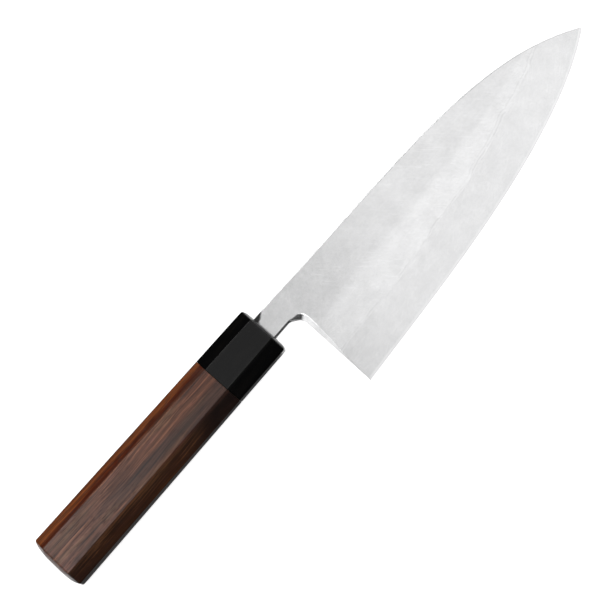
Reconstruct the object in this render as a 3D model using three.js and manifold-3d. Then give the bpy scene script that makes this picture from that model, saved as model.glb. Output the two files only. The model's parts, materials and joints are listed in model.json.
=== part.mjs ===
// A deba: a single-bevel kitchen knife with a laminated blade and an eight-sided two-part handle.
//
// Sizes are in millimetres. The knife is built along X, with its tip at +X, its spine towards +Y and its
// bevelled face towards +Z. X = 0 is the front of the ferrule, and the X axis is the middle of the handle.
// At the end the whole knife is laid down on the plane Z = 0, bevelled face up, as it rests on a table.

import * as THREE from 'three';
import { mergeVertices } from 'three/addons/utils/BufferGeometryUtils.js';
import Module from 'manifold-3d';

const wasm = await Module();
wasm.setup();

// Blade outline: heights are measured from the handle axis, slopes are in degrees, and a reach is how far a
// curve keeps to the slope at its end
const bladeLength = 165;
const spineRise = 5.9;
const heelDrop = 46.1;
const heelRake = 0.5;
const tipDrop = 15.1;
const tipBlunt = 0.6;
const spineHeelSlope = 1.8;
const spineHeelReach = 68;
const spineTipSlope = 32.7;
const spineTipReach = 46.4;
const edgeHeelSlope = 4.7;
const edgeHeelReach = 40.8;
const edgeTipSlope = 31.8;
const edgeTipReach = 46.9;

// Neck and tang
const neckLength = 12.9;
const neckDrop = 6.2;
const neckSeat = 5;
const choilRadius = 4.8;
const tangLength = 95;
const tangRootHeight = 9.6;
const tangEndHeight = 6;
const tangEndThickness = 3.4;

// Blade section: the flat is as thick as the neck at the heel, with little iron left on the steel at the tip.
// The ridge between the flat and the bevel starts on the heel line, a step below the choil.
const neckThickness = 5.9;
const steelThickness = 2.95;
const ridgeStep = 2;
const tipCladding = 0.3;
const lateThinning = 0.25;
const weldWaviness = 0.06;
const weldWavelength = 50;
const edgeLand = 0.1;
const microBevelWidth = 1.1;
const microBevelHeight = 0.4;
const spineEase = 0.5;
const neckEase = 0.5;
const choilEase = 1.8;
const hollowDepth = 0.5;
const hollowRim = 2.2;
const hollowHeelLength = 16;
const hollowTipLength = 34;

// Handle: an octagon with equal corner cuts, tapering from the butt to the ferrule's front. The butt is
// domed, and cut a little aslant.
const gripLength = 100.9;
const ferruleLength = 28.5;
const buttHeight = 25.85;
const buttThickness = 20;
const mouthHeight = 23.7;
const mouthThickness = 17.8;
const cornerCut = 5.5;
const buttEase = 0.5;
const buttCrown = 1.8;
const buttSlant = 2;
const mouthEase = 3.2;

// Inside the handle
const ferruleFrontWall = 9;
const dowelLength = 50;
const dowelWall = 1.2;
const sealDepth = 3;
const sealWall = 0.9;
const tangGap = 0.3;
const glueGap = 0.1;

// How finely the curved forms are divided
const choilSteps = 6;
const claddingColumns = 34;
const tipColumns = 9;
const easeSteps = 4;
const crownSteps = 4;
const dowelSides = 32;

// Finishes
function finish(color, roughness, metalness) {
  return new THREE.MeshStandardMaterial({ color, roughness, metalness });
}
const softIron = finish(0xd3d4d5, 0.42, 1);
const hardSteel = finish(0xe3e4e5, 0.34, 1);
const blackHorn = finish(0x0c0c0d, 0.3, 0);
const rosewood = finish(0x5f3826, 0.45, 0);
const beech = finish(0xc8a678, 0.7, 0);
const resin = finish(0x2b211a, 0.5, 0);

const lerp = THREE.MathUtils.lerp;
const clamp = THREE.MathUtils.clamp;

function heading(degrees, reach) {
  const angle = THREE.MathUtils.degToRad(degrees);
  return new THREE.Vector2(Math.cos(angle), Math.sin(angle)).multiplyScalar(reach);
}

function solidFrom(geometry) {
  const bare = geometry.clone();
  bare.deleteAttribute('normal');
  bare.deleteAttribute('uv');
  const merged = mergeVertices(bare);
  const vertProperties = new Float32Array(merged.getAttribute('position').array);
  const triVerts = new Uint32Array(merged.index.array);
  return new wasm.Manifold(new wasm.Mesh({ numProp: 3, vertProperties, triVerts }));
}

function geometryFrom(solid) {
  const mesh = solid.getMesh();
  return indexedGeometry(mesh.vertProperties, mesh.triVerts);
}

function indexedGeometry(positions, triangles) {
  const geometry = new THREE.BufferGeometry();
  geometry.setAttribute('position', new THREE.Float32BufferAttribute(positions, 3));
  geometry.setIndex(Array.from(triangles));
  geometry.computeVertexNormals();
  return geometry;
}

function cut(geometry, ...tools) {
  const solid = tools.reduce((rest, tool) => rest.subtract(solidFrom(tool)), solidFrom(geometry));
  return geometryFrom(solid);
}

function ringMiddle(ring) {
  const sum = ring.reduce((total, point) => total.add(point), new THREE.Vector3());
  return sum.divideScalar(ring.length);
}

// Joins rings of points, given from low X to high X and counter-clockwise seen from +X, into a closed body.
// Each end closes on its middle point, and startCrown pushes the first one outwards.
function loft(rings, startCrown = 0) {
  const sides = rings[0].length;
  const points = rings.flat();
  const triangles = [];
  for (let ring = 0; ring + 1 < rings.length; ring += 1) {
    for (let side = 0; side < sides; side += 1) {
      const a = ring * sides + side;
      const b = ring * sides + (side + 1) % sides;
      triangles.push(a, b, b + sides, a, b + sides, a + sides);
    }
  }
  const first = points.length;
  const last = first + 1;
  points.push(ringMiddle(rings[0]).sub(new THREE.Vector3(startCrown, 0, 0)));
  points.push(ringMiddle(rings[rings.length - 1]));
  for (let side = 0; side < sides; side += 1) {
    const next = (side + 1) % sides;
    const top = (rings.length - 1) * sides;
    triangles.push(first, next, side, last, top + side, top + next);
  }
  return indexedGeometry(points.flatMap((point) => point.toArray()), triangles);
}

function rectangleRing(x, bottom, top, back, front) {
  const corners = [[top, back], [top, front], [bottom, front], [bottom, back]];
  return corners.map(([y, z]) => new THREE.Vector3(x, y, z));
}

function octagonRing(x, height, thickness, corner) {
  const halfHeight = height / 2;
  const halfThickness = thickness / 2;
  const quarter = [[halfHeight, halfThickness - corner], [halfHeight - corner, halfThickness]];
  const upper = [...quarter, ...quarter.map(([y, z]) => [-y, z]).reverse()];
  const whole = [...upper, ...upper.map(([y, z]) => [-y, -z])];
  return whole.map(([y, z]) => new THREE.Vector3(x, y, z));
}

// Neck and tang: outline and thickness at a station along X
const backPlane = -neckThickness / 2;
const tangStations = [
  { x: -tangLength, bottom: -tangEndHeight / 2, top: tangEndHeight / 2, thickness: tangEndThickness },
  { x: -ferruleFrontWall, bottom: -tangRootHeight / 2, top: tangRootHeight / 2, thickness: neckThickness },
  { x: -neckSeat, bottom: -neckDrop, top: spineRise, thickness: neckThickness },
  { x: 0, bottom: -neckDrop, top: spineRise, thickness: neckThickness },
];

// The room that the tang needs, with a gap all round, open through the ferrule's mouth
function tangPocket() {
  const start = tangStations[0];
  const mouth = tangStations[tangStations.length - 1];
  const stations = [
    { ...start, x: start.x - tangGap },
    ...tangStations.slice(1, -1),
    { ...mouth, x: mouth.x + neckSeat },
  ];
  return loft(stations.map(({ x, bottom, top, thickness }) => rectangleRing(
    x, bottom - tangGap, top + tangGap, backPlane - tangGap, backPlane + thickness + tangGap)));
}

// Blade outline
const tip = new THREE.Vector2(neckLength + bladeLength, -tipDrop);
const heelCorner = new THREE.Vector2(neckLength, -heelDrop);
const spineStart = new THREE.Vector2(neckLength + heelRake, spineRise);
const edgeEnd = tip.clone().add(new THREE.Vector2(0, -tipBlunt / 2));
const spineEnd = tip.clone().add(new THREE.Vector2(0, tipBlunt / 2));
const edgeCurve = new THREE.CubicBezierCurve(
  heelCorner,
  heelCorner.clone().add(heading(edgeHeelSlope, edgeHeelReach)),
  edgeEnd.clone().sub(heading(edgeTipSlope, edgeTipReach)),
  edgeEnd);
const spineCurve = new THREE.CubicBezierCurve(
  spineStart,
  spineStart.clone().add(heading(-spineHeelSlope, spineHeelReach)),
  spineEnd.clone().sub(heading(-spineTipSlope, spineTipReach)),
  spineEnd);

// A section runs straight from the edge to the spine at one share of their lengths. square turns a width
// along the section into the distance square to the edge.
function section(share) {
  const edge = edgeCurve.getPointAt(share);
  const across = spineCurve.getPointAt(share).sub(edge);
  const width = across.length();
  across.normalize();
  const square = Math.abs(edgeCurve.getTangentAt(share).cross(across));
  return { edge, across, width, square };
}

// The bevel rises from the micro-bevel's top to the full thickness at the ridge
const heelSection = section(0);
const choilWidth = heelDrop - neckDrop - choilRadius;
const heelRidge = (choilWidth - ridgeStep) * heelSection.square;
const bevelSlope = (neckThickness - microBevelHeight) / (heelRidge - microBevelWidth);
const microSlope = (microBevelHeight - edgeLand) / microBevelWidth;
const bevelReach = (height) => microBevelWidth + (height - microBevelHeight) / bevelSlope;

// The flat thins evenly from the heel and a little faster near the tip
function flatThickness(share) {
  const taper = lerp(share, share ** 4, lateThinning);
  return lerp(neckThickness, steelThickness + tipCladding, taper);
}

// Height of the front face above the back plane, at a distance square to the edge
function frontHeight(distance, flat) {
  const micro = edgeLand + distance * microSlope;
  const bevel = microBevelHeight + (distance - microBevelWidth) * bevelSlope;
  return Math.min(micro, bevel, flat);
}

// Hammer work leaves the weld between the two metals slightly wavy
function weldHeight(share) {
  const turn = (2 * Math.PI * share * bladeLength) / weldWavelength;
  return steelThickness + weldWaviness * (Math.sin(turn) + Math.sin(2.2 * turn + 1) / 2);
}

// The weld line keeps its distance from the edge until it runs out at the spine, short of the tip. From there
// on the steel is the whole section.
const runOutWidth = 0.94;
const tipWeldWidth = 0.6;
const weldLine = (share) => bevelReach(weldHeight(share)) / section(share).square;

function findRunOut() {
  let low = 0.5;
  let high = 1;
  for (let step = 0; step < 40; step += 1) {
    const middle = (low + high) / 2;
    if (weldLine(middle) < runOutWidth * section(middle).width) low = middle;
    else high = middle;
  }
  return low;
}
const runOut = findRunOut();

// The back is ground hollow inside a flat rim, deepest along the middle
function hollow(share, distance, reach) {
  const across = clamp((distance - hollowRim) / (reach - 2 * hollowRim), 0, 1);
  const fromHeel = THREE.MathUtils.smoothstep(share * bladeLength, 0, hollowHeelLength);
  const fromTip = THREE.MathUtils.smoothstep((1 - share) * bladeLength, 0, hollowTipLength);
  return hollowDepth * 4 * across * (1 - across) * fromHeel * fromTip;
}

// Rows across the blade, from the edge to the spine. The neck and tang have the rows from the choil upwards.
const weldRow = 3;
const choilRow = 5;
const spineRow = 9;

function upperRows(bottom, top, ease) {
  const span = top - bottom;
  const inset = bottom + Math.min(ease, span / 4);
  const shoulder = top - Math.min(spineEase, span / 5);
  return [bottom, inset, (inset + shoulder) / 2, shoulder, top];
}

// An eased corner takes no more than half of the metal that it is cut from
function easedHeight(height, base, ease) {
  return height - Math.min(ease, (height - base) / 2);
}

// Each corner holds its place and three heights above the back plane: the back, the weld and the front face
function bladeColumn(share) {
  const { edge, across, width, square } = section(share);
  const flat = flatThickness(share);
  const clad = share <= runOut;
  const tipShare = clad ? 0 : (share - runOut) / (1 - runOut);
  const weldEdge = Math.min(weldLine(share), lerp(runOutWidth, tipWeldWidth, tipShare) * width);
  const micro = Math.min(microBevelWidth / square, weldEdge / 3);
  const ridge = Math.min(bevelReach(flat) / square, (weldEdge + width) / 2);
  const aboveRidge = ridge + Math.min(ridgeStep, (width - ridge) / 4);
  const widths = [
    0, micro, (micro + weldEdge) / 2, weldEdge, ridge, ...upperRows(aboveRidge, width, choilEase),
  ];
  return widths.map((along, row) => {
    const { x, y } = edge.clone().addScaledVector(across, along);
    const distance = along * square;
    let front = frontHeight(distance, flat);
    const weld = Math.min(weldHeight(share), front);
    const base = clad ? weld : 0;
    if (row === spineRow) front = easedHeight(front, base, spineEase);
    if (share === 0 && row > weldRow && row <= choilRow) front = easedHeight(front, base, choilEase);
    const back = hollow(share, distance, width * square);
    return { x, y, back, weld: Math.min(weld, front), front, row, share };
  });
}

function tangColumn({ x, bottom, top, thickness, ease = neckEase }) {
  const weld = Math.min(steelThickness, thickness / 2);
  const rows = upperRows(bottom, top, ease).map((y, step) => {
    const row = choilRow + step;
    let front = thickness;
    if (row === choilRow) front = easedHeight(thickness, weld, ease);
    if (row === spineRow) front = easedHeight(thickness, weld, spineEase);
    return { x, y, back: 0, weld, front, row, share: 0 };
  });
  return [...new Array(choilRow), ...rows];
}

// The choil: a quarter circle from the underside of the neck to the heel line
function choilColumns() {
  const end = heelSection.edge.clone().addScaledVector(heelSection.across, choilWidth);
  const columns = [];
  for (let step = 0; step < choilSteps; step += 1) {
    const angle = (step / choilSteps) * Math.PI / 2;
    const x = end.x - choilRadius * (1 - Math.sin(angle));
    const bottom = -neckDrop - choilRadius * (1 - Math.cos(angle));
    const ease = lerp(neckEase, choilEase, step / choilSteps);
    columns.push(tangColumn({ x, bottom, top: spineRise, thickness: neckThickness, ease }));
  }
  return columns;
}

function bladeShares() {
  const shares = [0];
  const firstInset = choilEase / bladeLength;
  for (let step = 0; step <= claddingColumns; step += 1) {
    shares.push(lerp(firstInset, runOut, step / claddingColumns));
  }
  for (let step = 1; step <= tipColumns; step += 1) {
    shares.push(lerp(runOut, 1, step / tipColumns));
  }
  return shares;
}

const bladeGrid = [
  ...tangStations.map((station) => tangColumn(station)),
  ...choilColumns(),
  ...bladeShares().map((share) => bladeColumn(share)),
];

function gridCells(belongs) {
  const cells = [];
  for (let column = 0; column + 1 < bladeGrid.length; column += 1) {
    for (let row = 0; row < spineRow; row += 1) {
      const [here, next] = [bladeGrid[column], bladeGrid[column + 1]];
      const corners = [here[row], next[row], next[row + 1], here[row + 1]];
      if (corners.every((corner) => corner && belongs(corner))) cells.push(corners);
    }
  }
  return cells;
}

// Fills the space between two heights over the cells. Where the heights meet, the body ends in a sharp edge.
function plate(cells, lower, upper) {
  const positions = [];
  const triangles = [];
  const numbers = new Map();
  const numberOf = (corner) => {
    if (!numbers.has(corner)) {
      const bottom = positions.length / 3;
      const thick = upper(corner) - lower(corner) > 1e-6;
      positions.push(corner.x, corner.y, backPlane + lower(corner));
      if (thick) positions.push(corner.x, corner.y, backPlane + upper(corner));
      numbers.set(corner, { bottom, top: thick ? bottom + 1 : bottom });
    }
    return numbers.get(corner);
  };
  const rims = new Map();
  const addRim = (from, to) => {
    const reverse = `${to.bottom} ${from.bottom}`;
    if (!rims.delete(reverse)) rims.set(`${from.bottom} ${to.bottom}`, [from, to]);
  };
  cells.forEach((cell) => {
    const [a, b, c, d] = cell.map(numberOf);
    triangles.push(a.top, b.top, c.top, a.top, c.top, d.top);
    triangles.push(a.bottom, c.bottom, b.bottom, a.bottom, d.bottom, c.bottom);
    [[a, b], [b, c], [c, d], [d, a]].forEach(([from, to]) => addRim(from, to));
  });
  rims.forEach(([from, to]) => {
    if (from.top !== from.bottom) triangles.push(from.top, from.bottom, to.bottom);
    if (to.top !== to.bottom) triangles.push(from.top, to.bottom, to.top);
  });
  return indexedGeometry(positions, triangles);
}

function steelLayer() {
  const cells = gridCells(() => true);
  return plate(cells, (corner) => corner.back, (corner) => corner.weld);
}

function ironCladding() {
  const cells = gridCells(({ row, share }) => row >= weldRow && share <= runOut);
  return plate(cells, (corner) => corner.weld, (corner) => corner.front);
}

// Handle
const handleLength = gripLength + ferruleLength;

// The octagon at a station along X, drawn in evenly by inset
function handleRing(x, inset = 0) {
  const share = (x + handleLength) / handleLength;
  const height = lerp(buttHeight, mouthHeight, share) - 2 * inset;
  const thickness = lerp(buttThickness, mouthThickness, share) - 2 * inset;
  const corner = cornerCut - inset * (2 - Math.SQRT2);
  return octagonRing(x, height, thickness, corner);
}

// Rings that round an end over: from the end's face to the full section
function easedRings(end, ease, direction) {
  const rings = [];
  for (let step = 0; step <= easeSteps; step += 1) {
    const angle = (step / easeSteps) * Math.PI / 2;
    const x = end + direction * ease * (1 - Math.cos(angle));
    rings.push(handleRing(x, ease * (1 - Math.sin(angle))));
  }
  return rings;
}

// Rings of a domed end: the rim drawn in towards its middle, where the dome rises to the crown as a parabola
function crownRings(rim, crown) {
  const middle = ringMiddle(rim);
  const rings = [];
  for (let step = 1; step < crownSteps; step += 1) {
    const size = step / crownSteps;
    const rise = crown * (1 - size ** 2);
    rings.push(rim.map((point) => middle.clone().lerp(point, size).sub(new THREE.Vector3(rise, 0, 0))));
  }
  return rings;
}

// The dowel goes round the tang's root with a wall to spare
const dowelRadius = Math.hypot(tangRootHeight / 2 + tangGap + dowelWall, neckThickness / 2 + tangGap);
const dowelFront = -ferruleFrontWall - glueGap;
const dowelBack = dowelFront - dowelLength;

function roundBar(radius, from, to) {
  const bar = new THREE.CylinderGeometry(radius, radius, to - from, dowelSides);
  bar.rotateZ(-Math.PI / 2);
  bar.translate((from + to) / 2, 0, 0);
  return bar;
}

function dowelBore() {
  return roundBar(dowelRadius + glueGap, dowelBack - glueGap, -ferruleFrontWall);
}

function sealBlock(grow, from, to) {
  const spread = sealWall + grow;
  const ring = (x) => rectangleRing(
    x, -neckDrop - spread, spineRise + spread, backPlane - spread, backPlane + neckThickness + spread);
  return loft([ring(from), ring(to)]);
}

function ferrule() {
  const body = loft([handleRing(-ferruleLength), ...easedRings(0, mouthEase, -1).reverse()]);
  const sealSeat = sealBlock(0, -sealDepth - glueGap, sealDepth);
  return cut(body, dowelBore(), tangPocket(), sealSeat);
}

// Slides a ring's points along the edges of the handle, so that the ring reaches further on the lower side
function slanted(ring) {
  const slope = Math.tan(THREE.MathUtils.degToRad(buttSlant));
  const heightTaper = (mouthHeight - buttHeight) / 2 / handleLength;
  const thicknessTaper = (mouthThickness - buttThickness) / 2 / handleLength;
  return ring.map(({ x, y, z }) => {
    const slide = slope * y;
    return new THREE.Vector3(
      x + slide, y + Math.sign(y) * heightTaper * slide, z + Math.sign(z) * thicknessTaper * slide);
  });
}

function grip() {
  const butt = -handleLength + buttCrown;
  const front = -ferruleLength - glueGap;
  const rim = easedRings(butt, buttEase, 1).map(slanted);
  const dome = crownRings(rim[0], buttCrown);
  const body = loft([...dome, ...rim, handleRing(front)], buttCrown / crownSteps ** 2);
  return cut(body, dowelBore(), tangPocket());
}

function dowel() {
  return cut(roundBar(dowelRadius, dowelBack, dowelFront), tangPocket());
}

function mouthSeal() {
  const inner = sealBlock(glueGap - sealWall, -2 * sealDepth, sealDepth);
  return cut(sealBlock(-glueGap, -sealDepth, 0), inner);
}

function piece(name, geometry, material) {
  const mesh = new THREE.Mesh(geometry, material);
  mesh.name = name;
  return mesh;
}

const knife = new THREE.Group();
knife.add(
  piece('iron_cladding', ironCladding(), softIron),
  piece('steel_layer', steelLayer(), hardSteel),
  piece('ferrule', ferrule(), blackHorn),
  piece('grip', grip(), rosewood),
  piece('dowel', dowel(), beech),
  piece('mouth_seal', mouthSeal(), resin),
);

// On a table the knife leans on the lower rim of the ferrule and on its tip. The origin is the middle of the
// ground that it covers.
function layDown(group) {
  const rim = handleRing(-mouthEase).reduce((lowest, point) => (point.z < lowest.z ? point : lowest));
  group.rotation.y = Math.atan2(backPlane - rim.z, tip.x - rim.x);
  const box = new THREE.Box3().setFromObject(group, true);
  const middle = box.getCenter(new THREE.Vector3());
  group.position.set(-middle.x, -middle.y, -box.min.z);
}
layDown(knife);

const deba = new THREE.Group();
deba.add(knife);

export default deba;
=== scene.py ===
import json
import bmesh
import bpy
import numpy as np
from mathutils import Matrix, Vector


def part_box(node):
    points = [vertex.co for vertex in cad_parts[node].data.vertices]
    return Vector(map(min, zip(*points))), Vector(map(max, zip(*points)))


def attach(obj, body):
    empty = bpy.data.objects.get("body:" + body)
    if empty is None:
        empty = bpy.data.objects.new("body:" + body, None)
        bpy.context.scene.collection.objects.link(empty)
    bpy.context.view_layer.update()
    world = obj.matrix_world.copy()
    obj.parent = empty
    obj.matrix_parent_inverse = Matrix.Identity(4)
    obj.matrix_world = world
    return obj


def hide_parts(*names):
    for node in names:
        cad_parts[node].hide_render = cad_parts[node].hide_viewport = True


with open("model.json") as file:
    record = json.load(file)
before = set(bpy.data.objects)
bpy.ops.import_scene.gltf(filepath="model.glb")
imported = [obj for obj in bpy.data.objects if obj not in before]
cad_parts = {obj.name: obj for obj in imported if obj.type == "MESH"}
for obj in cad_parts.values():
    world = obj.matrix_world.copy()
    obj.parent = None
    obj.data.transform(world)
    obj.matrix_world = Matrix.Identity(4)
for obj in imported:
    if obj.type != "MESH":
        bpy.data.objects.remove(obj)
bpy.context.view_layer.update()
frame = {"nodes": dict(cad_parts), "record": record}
print("frame loaded with", len(frame["nodes"]), "nodes")

# Every surface below is worked out in the knife's own frame, in millimetres: X runs along the middle of
# the handle to the tip and starts at the ferrule's front, Y points to the spine and Z to the bevelled face.


# The lean is halfway between the handle's two grip flats, which the record gives. The middle of the mouth
# seal shows where the knife lies.
def knifePose():
    axes = {mount["name"]: np.array(mount["axis"]) for mount in frame["record"]["mounts"]}
    up = axes["grip_front_flat"] - axes["grip_back_flat"]
    lean = float(np.arctan2(up[0], up[2]))
    turn = np.array([[np.cos(lean), 0, np.sin(lean)], [0, 1, 0], [-np.sin(lean), 0, np.cos(lean)]])
    sealMiddle = np.array([-seal["depth"] / 2, (blade["spineRise"] - blade["neckDrop"]) / 2, 0])
    low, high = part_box("mouth_seal")
    return lean, turn, np.array((low + high) / 2) - turn @ sealMiddle * 0.001


# From the knife's frame to the scene: turned by the lean, put in metres and moved to its place
def layDown(points):
    turn, start = knifePose()[1:]
    return np.asarray(points) @ turn.T * 0.001 + start


# The value a share of the way from a to b
def mix(a, b, share):
    return a + (b - a) * share


# 0 up to low, 1 from high, and three t squared less two t cubed between
def smoothStep(value, low, high):
    t = np.clip((value - low) / (high - low), 0, 1)
    return t * t * (3 - 2 * t)


# A quarter round of the given radius: how far it falls at a distance from the corner
def roundFall(distance, radius):
    inward = np.clip(radius - distance, 0, radius)
    return radius - np.sqrt(np.maximum(radius**2 - inward**2, 0))


# The lesser of two heights, with a soft change from one to the other where they differ by less than softness
def softMin(a, b, softness):
    share = np.clip(0.5 + 0.5 * (b - a) / softness, 0, 1)
    return mix(b, a, share) - softness * share * (1 - share)


# A mesh laid down with its maps, its doubled corners welded, in place of the named nodes
def makePiece(name, points, faces, material, slot, *nodes, maps=None, sharpAngle=30):
    used, order = np.unique(faces, return_inverse=True)
    mesh = bpy.data.meshes.new(name)
    mesh.from_pydata(layDown(points[used]), [], order.reshape(faces.shape))
    for mapName, values in (maps or {}).items():
        layer = mesh.attributes.new(mapName, "FLOAT_VECTOR", "POINT")
        layer.data.foreach_set("vector", values[used].astype(np.float32).ravel())
    welded = bmesh.new()
    welded.from_mesh(mesh)
    bmesh.ops.remove_doubles(welded, verts=welded.verts, dist=1e-7)
    welded.to_mesh(mesh)
    welded.free()
    mesh.shade_smooth()
    mesh.set_sharp_from_angle(angle=np.radians(sharpAngle))
    mesh.materials.append(material)
    piece = bpy.data.objects.new(name, mesh)
    bpy.context.scene.collection.objects.link(piece)
    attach(piece, "root")
    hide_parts(*nodes)
    print("made", name, "with", len(mesh.polygons), "faces")


# Blade: a slope is in degrees, and a reach is how far a curve keeps to it
blade = {
    "length": 165, "spineRise": 5.9, "heelDrop": 46.1, "heelRake": 0.5, "tipDrop": 15.1, "tipBlunt": 0.6,
    "spineSlopes": (-1.8, -32.7), "spineReaches": (68, 46.4),
    "edgeSlopes": (4.7, 31.8), "edgeReaches": (40.8, 46.9),
    "neckLength": 12.9, "neckDrop": 6.2, "neckSeat": 5, "choilRadius": 4.8, "ridgeStep": 2,
    "tangLength": 95, "tangRoot": 9, "tangRootHeight": 9.6, "tangEndHeight": 6, "tangEndThickness": 3.4,
    "thickness": 5.9, "lateThinning": 0.25, "steel": 2.95, "tipIron": 0.3,
    "weldWave": 0.06, "weldWavelength": 50,
    "edgeLand": 0.1, "microWidth": 1.1, "microHeight": 0.4, "ridgeSoftness": 0.6,
    "spineRound": 0.5, "neckRound": 1.7, "choilChamfer": 2.45, "heelChamfer": 0.15, "chamferFade": 33,
    "chamferSlope": 0.5, "choilStart": 0.3, "chamferTurn": 0.3, "chamferFull": 0.75,
    "tipSoftness": 0.1, "secondWave": 2.2, "tipWeld": 0.6, "backRound": 0.25, "ironWedge": 0.04,
    "hollowDepth": 0.5, "hollowRim": 2.2, "hollowHeel": 16, "hollowTip": 34,
}


# A cubic curve from start to end that keeps to a slope over a reach at each end, read by the share of its
# length
def slopedCurve(start, end, slopes, reaches):
    angles = np.radians(slopes)
    headings = np.stack([np.cos(angles), np.sin(angles)], -1) * np.array(reaches)[:, None]
    t = np.linspace(0, 1, 1500)[:, None]
    points = ((1 - t)**3 * start + 3 * (1 - t)**2 * t * (start + headings[0])
              + 3 * (1 - t) * t**2 * (end - headings[1]) + t**3 * end)
    run = np.concatenate([[0], np.cumsum(np.linalg.norm(np.diff(points, axis=0), axis=1))])
    return lambda share: np.stack([np.interp(share, run / run[-1], points[:, axis]) for axis in (0, 1)], -1)


heelCorner = np.array([blade["neckLength"], -blade["heelDrop"]])
spineStart = np.array([blade["neckLength"] + blade["heelRake"], blade["spineRise"]])
tip = np.array([blade["neckLength"] + blade["length"], -blade["tipDrop"]])
tipHalf = np.array([0, blade["tipBlunt"] / 2])
edgeAt = slopedCurve(heelCorner, tip - tipHalf, blade["edgeSlopes"], blade["edgeReaches"])
spineAt = slopedCurve(spineStart, tip + tipHalf, blade["spineSlopes"], blade["spineReaches"])


# A section runs straight from the edge to the spine at one share of their lengths. square turns a width
# along it into the distance square to the edge.
def sections(share):
    edge = edgeAt(share)
    across = spineAt(share) - edge
    width = np.linalg.norm(across, axis=-1)
    across = across / width[..., None]
    tangent = edgeAt(np.minimum(share + 0.001, 1)) - edgeAt(np.maximum(share - 0.001, 0))
    tangent /= np.linalg.norm(tangent, axis=-1, keepdims=True)
    square = np.abs(tangent[..., 0] * across[..., 1] - tangent[..., 1] * across[..., 0])
    return edge, across, width, square


heelSquare = sections(np.array([0.0]))[3][0]
choilWidth = blade["heelDrop"] - blade["neckDrop"] - blade["choilRadius"]
heelRidge = (choilWidth - blade["ridgeStep"]) * heelSquare
bevelSlope = (blade["thickness"] - blade["microHeight"]) / (heelRidge - blade["microWidth"])
microSlope = (blade["microHeight"] - blade["edgeLand"]) / blade["microWidth"]


# How far from the edge the bevel comes to a height
def bevelReach(height):
    return blade["microWidth"] + (height - blade["microHeight"]) / bevelSlope


# The flat thins slowly from the heel and faster near the tip
def flatThickness(share):
    thinned = mix(share, share**4, blade["lateThinning"])
    return mix(blade["thickness"], blade["steel"] + blade["tipIron"], thinned)


# The weld between the two metals: a plane with slow waves left by the hammer
def weldHeight(share):
    turn = 2 * np.pi * share * blade["length"] / blade["weldWavelength"]
    waves = np.sin(turn) + np.sin(blade["secondWave"] * turn + 1) / 2
    return blade["steel"] + blade["weldWave"] * waves


# The front face: micro-bevel, bevel and flat, whichever is lowest, with a soft ridge between bevel and flat
def frontHeight(distance, share):
    micro = blade["edgeLand"] + distance * microSlope
    bevel = blade["microHeight"] + (distance - blade["microWidth"]) * bevelSlope
    softness = mix(blade["ridgeSoftness"], blade["tipSoftness"], share)
    return np.minimum(micro, softMin(bevel, flatThickness(share), softness))


# The back is ground hollow inside a flat rim: a parabola across the blade that fades out at the heel and
# the tip
def hollowHeight(distance, reach, share):
    across = np.clip((distance - blade["hollowRim"]) / (reach - 2 * blade["hollowRim"]), 0, 1)
    fromHeel = smoothStep(share * blade["length"], 0, blade["hollowHeel"])
    fromTip = smoothStep((1 - share) * blade["length"], 0, blade["hollowTip"])
    return blade["hollowDepth"] * 4 * across * (1 - across) * fromHeel * fromTip


# Distance into the metal from the neck's underside, the round of the choil or the heel line, whichever lies
# square to the point. The corner falls away by it as a round on the neck, which turns into a chamfer that
# widens round the choil and narrows down the heel.
heelLine = spineStart - heelCorner
choilEnd = heelCorner + heelLine * choilWidth / np.linalg.norm(heelLine)
choilCentre = choilEnd - blade["choilRadius"] * np.array([1, 0])


def heelCorners(plan):
    x, y = plan[..., 0], plan[..., 1]
    fromCentre = plan - choilCentre
    angle = np.clip(np.arctan2(fromCentre[..., 0], fromCentre[..., 1]) / (np.pi / 2), 0, 1)
    heelX = heelCorner[0] + heelLine[0] * (y + blade["heelDrop"]) / heelLine[1]
    onArc = np.linalg.norm(fromCentre, axis=-1) - blade["choilRadius"]
    onHeel = y < choilCentre[1]
    distance = np.where(onHeel, x - heelX, np.where(fromCentre[..., 0] < 0, y + blade["neckDrop"], onArc))
    fade = smoothStep(choilCentre[1] - y, 0, blade["chamferFade"])
    alongHeel = mix(blade["choilChamfer"], blade["heelChamfer"], fade)
    turned = np.where(onHeel, 1, smoothStep(angle, 0, blade["chamferTurn"]))
    widened = mix(blade["choilStart"], 1, smoothStep(angle, 0, blade["chamferFull"]))
    alongArc = blade["choilChamfer"] * widened
    width = np.where(onHeel, alongHeel, alongArc)
    distance = np.maximum(distance, 0)
    chamfer = np.maximum(width - distance, 0) * blade["chamferSlope"]
    return distance, mix(roundFall(distance, blade["neckRound"]), chamfer, turned)


# Grid of the blade: columns from the tang's end to the tip, rows from the edge to the spine. The neck and
# tang have only the rows from the choil upwards.
microRow, weldRow, ridgeRow, choilRow, spineRow = 3, 15, 27, 31, 61
rowCounts = (microRow, weldRow - microRow, ridgeRow - weldRow, choilRow - ridgeRow)
rowKeys = [step + np.linspace(0, 1, count + 1)[1:] for step, count in enumerate(rowCounts)]
spineSpread = (1 - np.cos(np.pi * np.linspace(0, 1, spineRow - choilRow + 1)[1:])) / 2
rowPlace = np.concatenate([[0], *rowKeys, len(rowCounts) + spineSpread])

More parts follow.
